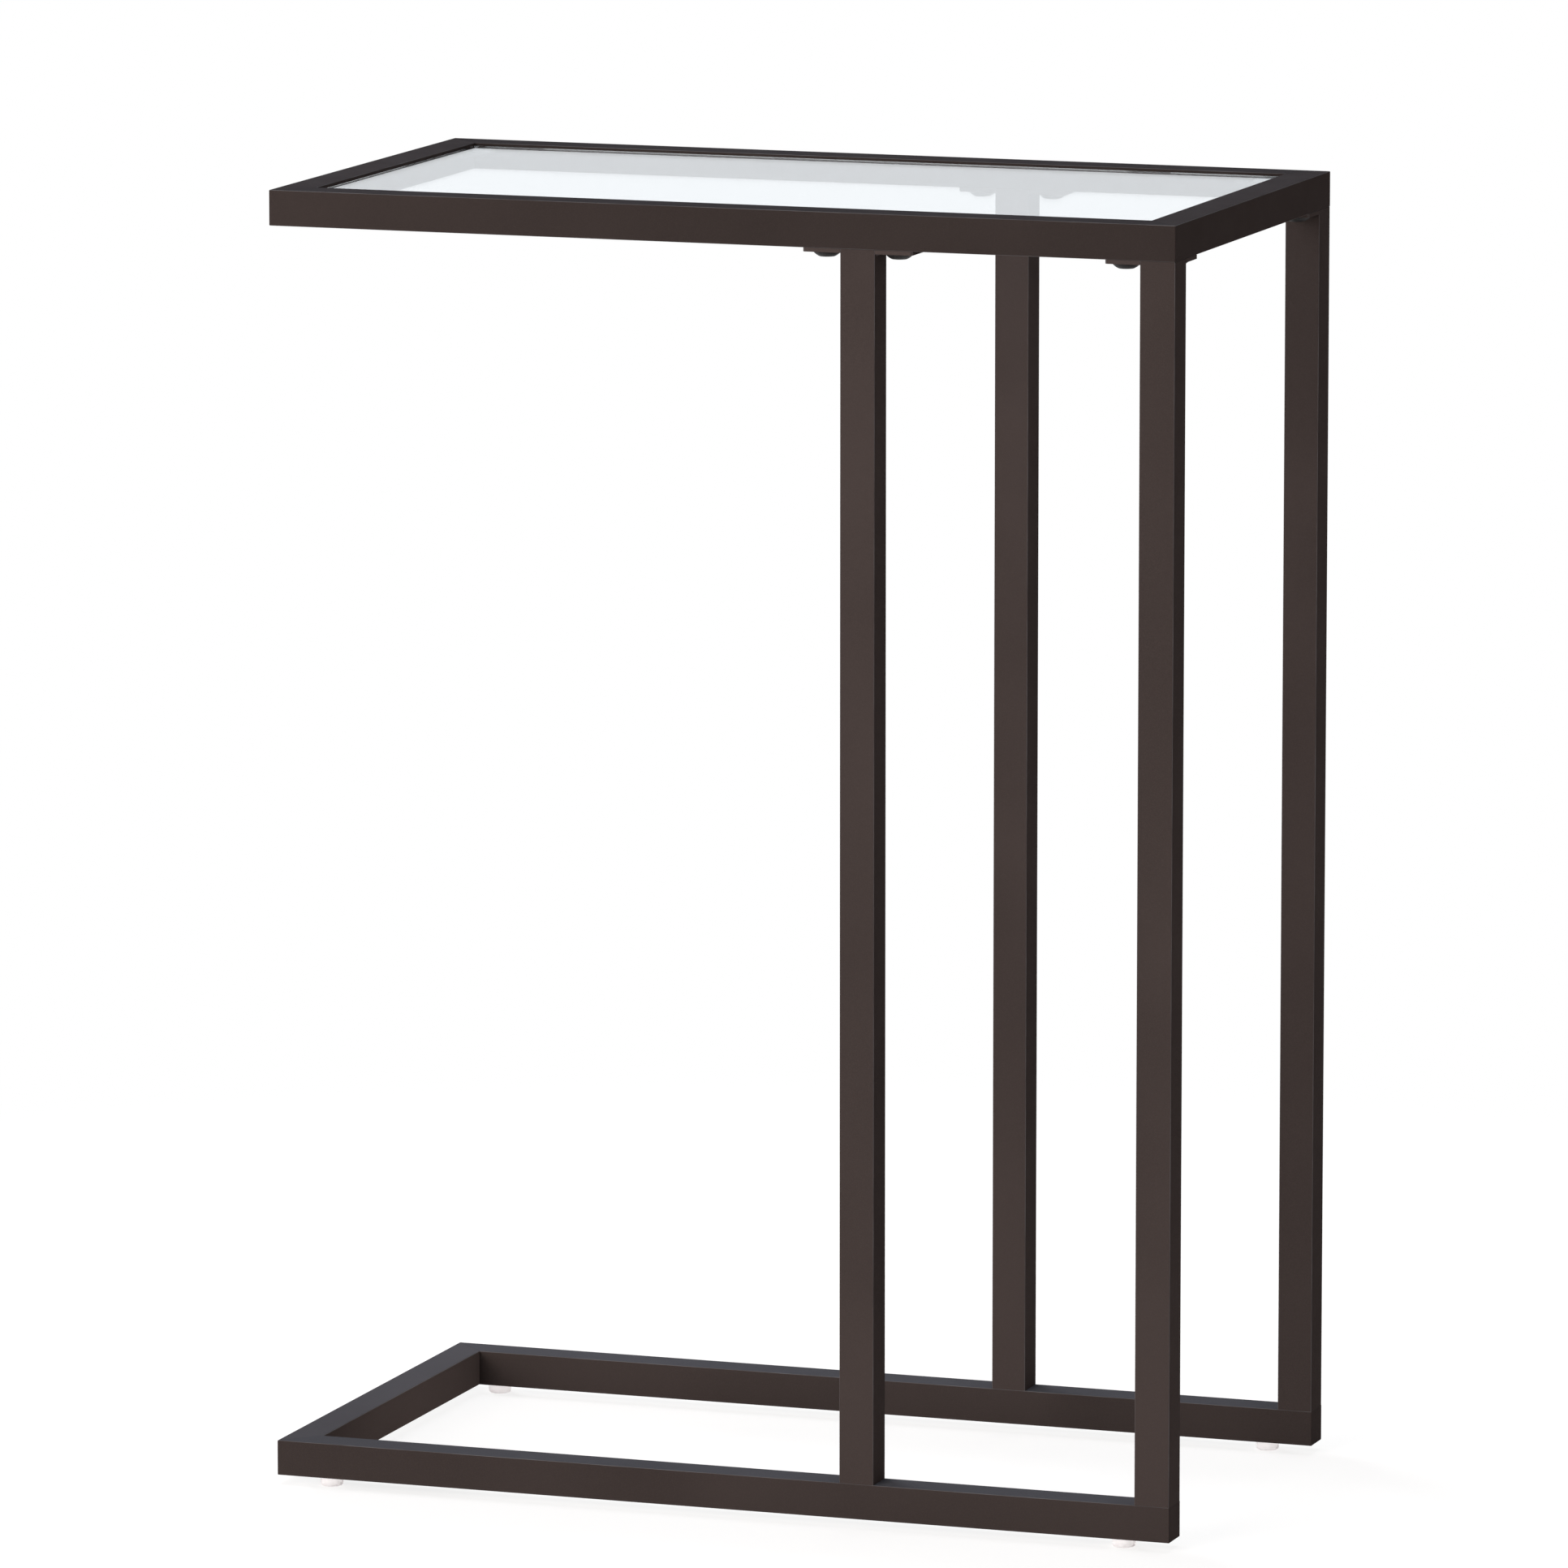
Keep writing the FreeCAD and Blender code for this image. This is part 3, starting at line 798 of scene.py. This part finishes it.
class FEET_OT_build(bpy.types.Operator):
    """Builds the four push-in feet"""
    bl_idname = "side_table.build_feet"
    bl_label = "Build Feet"

    def execute(self, context):
        settings = context.scene.table_feet
        stem_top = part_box("feet_front")[1].z
        mesh = foot_mesh(settings, RAIL_UNDERSIDE, stem_top)
        material = milky_plastic(settings)
        for side in ("front", "back"):
            low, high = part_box("feet_" + side)
            y = (low.y + high.y) / 2
            ends = {"left": low.x + settings.radius, "right": high.x - settings.radius}
            for end, x in ends.items():
                name = f"foot_{side}_{end}"
                piece = place_piece(name, mesh, (x, y, 0), material)
                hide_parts("feet_" + side)
        return {"FINISHED"}


class STUDIO_OT_build(bpy.types.Operator):
    """Sets the floor, the lamps, the world and the camera"""
    bl_idname = "side_table.build_studio"
    bl_label = "Build Studio"

    def execute(self, context):
        settings = context.scene.table_stage
        half = settings.floor_size / 2
        corners = [(-half, -half, 0), (half, -half, 0), (half, half, 0), (-half, half, 0)]
        mesh = bpy.data.meshes.new("studio_floor")
        mesh.from_pydata(corners, [], [(0, 1, 2, 3)])
        mesh.materials.append(floor_material())
        floor = bpy.data.objects.new("studio_floor", mesh)
        context.scene.collection.objects.link(floor)

        context.scene.world = studio_world(settings.fill)
        for name, (power, *rest) in LAMPS.items():
            area_lamp(name, getattr(settings, power), *rest)

        camera = bpy.data.cameras.new("table_camera")
        camera.lens = settings.lens
        camera.sensor_width = SENSOR_WIDTH
        camera.clip_end = 100.0
        viewer = bpy.data.objects.new("table_camera", camera)
        viewer.location = CAMERA_PLACE
        viewer.rotation_euler = (math.radians(90 - CAMERA_DOWN), 0, math.radians(CAMERA_TURN))
        context.scene.collection.objects.link(viewer)
        context.scene.camera = viewer
        context.scene.view_settings.view_transform = "Standard"
        return {"FINISHED"}


# ---------------------------------------------------------------- panel and making

class SIDE_TABLE_PT_panel(bpy.types.Panel):
    """The table's pieces, in the order that they are made"""
    bl_idname = "SIDE_TABLE_PT_panel"
    bl_label = "Side Table"
    bl_space_type = "VIEW_3D"
    bl_region_type = "UI"
    bl_category = "Side Table"

    def draw(self, context):
        for step in STEPS:
            self.layout.operator(step.bl_idname)
        for name, group in SETTINGS.items():
            box = self.layout.box()
            box.label(text=group.__doc__)
            for prop in group.__annotations__:
                box.prop(getattr(context.scene, name), prop)


STEPS = (
    COATED_TUBES_OT_finish,
    GLASS_TOP_OT_finish,
    HARDWARE_OT_finish,
    DOME_SCREWS_OT_build,
    EAR_WELDS_OT_build,
    FEET_OT_build,
    STUDIO_OT_build,
)
CLASSES = (*SETTINGS.values(), *STEPS, SIDE_TABLE_PT_panel)


def register():
    for item in CLASSES:
        bpy.utils.register_class(item)
    for name, group in SETTINGS.items():
        setattr(bpy.types.Scene, name, bpy.props.PointerProperty(type=group))


def unregister():
    for name in SETTINGS:
        delattr(bpy.types.Scene, name)
    for item in reversed(CLASSES):
        bpy.utils.unregister_class(item)


def main():
    register()
    for step in STEPS:
        group, name = step.bl_idname.split(".")
        getattr(getattr(bpy.ops, group), name)()


if __name__ == "__main__":
    main()
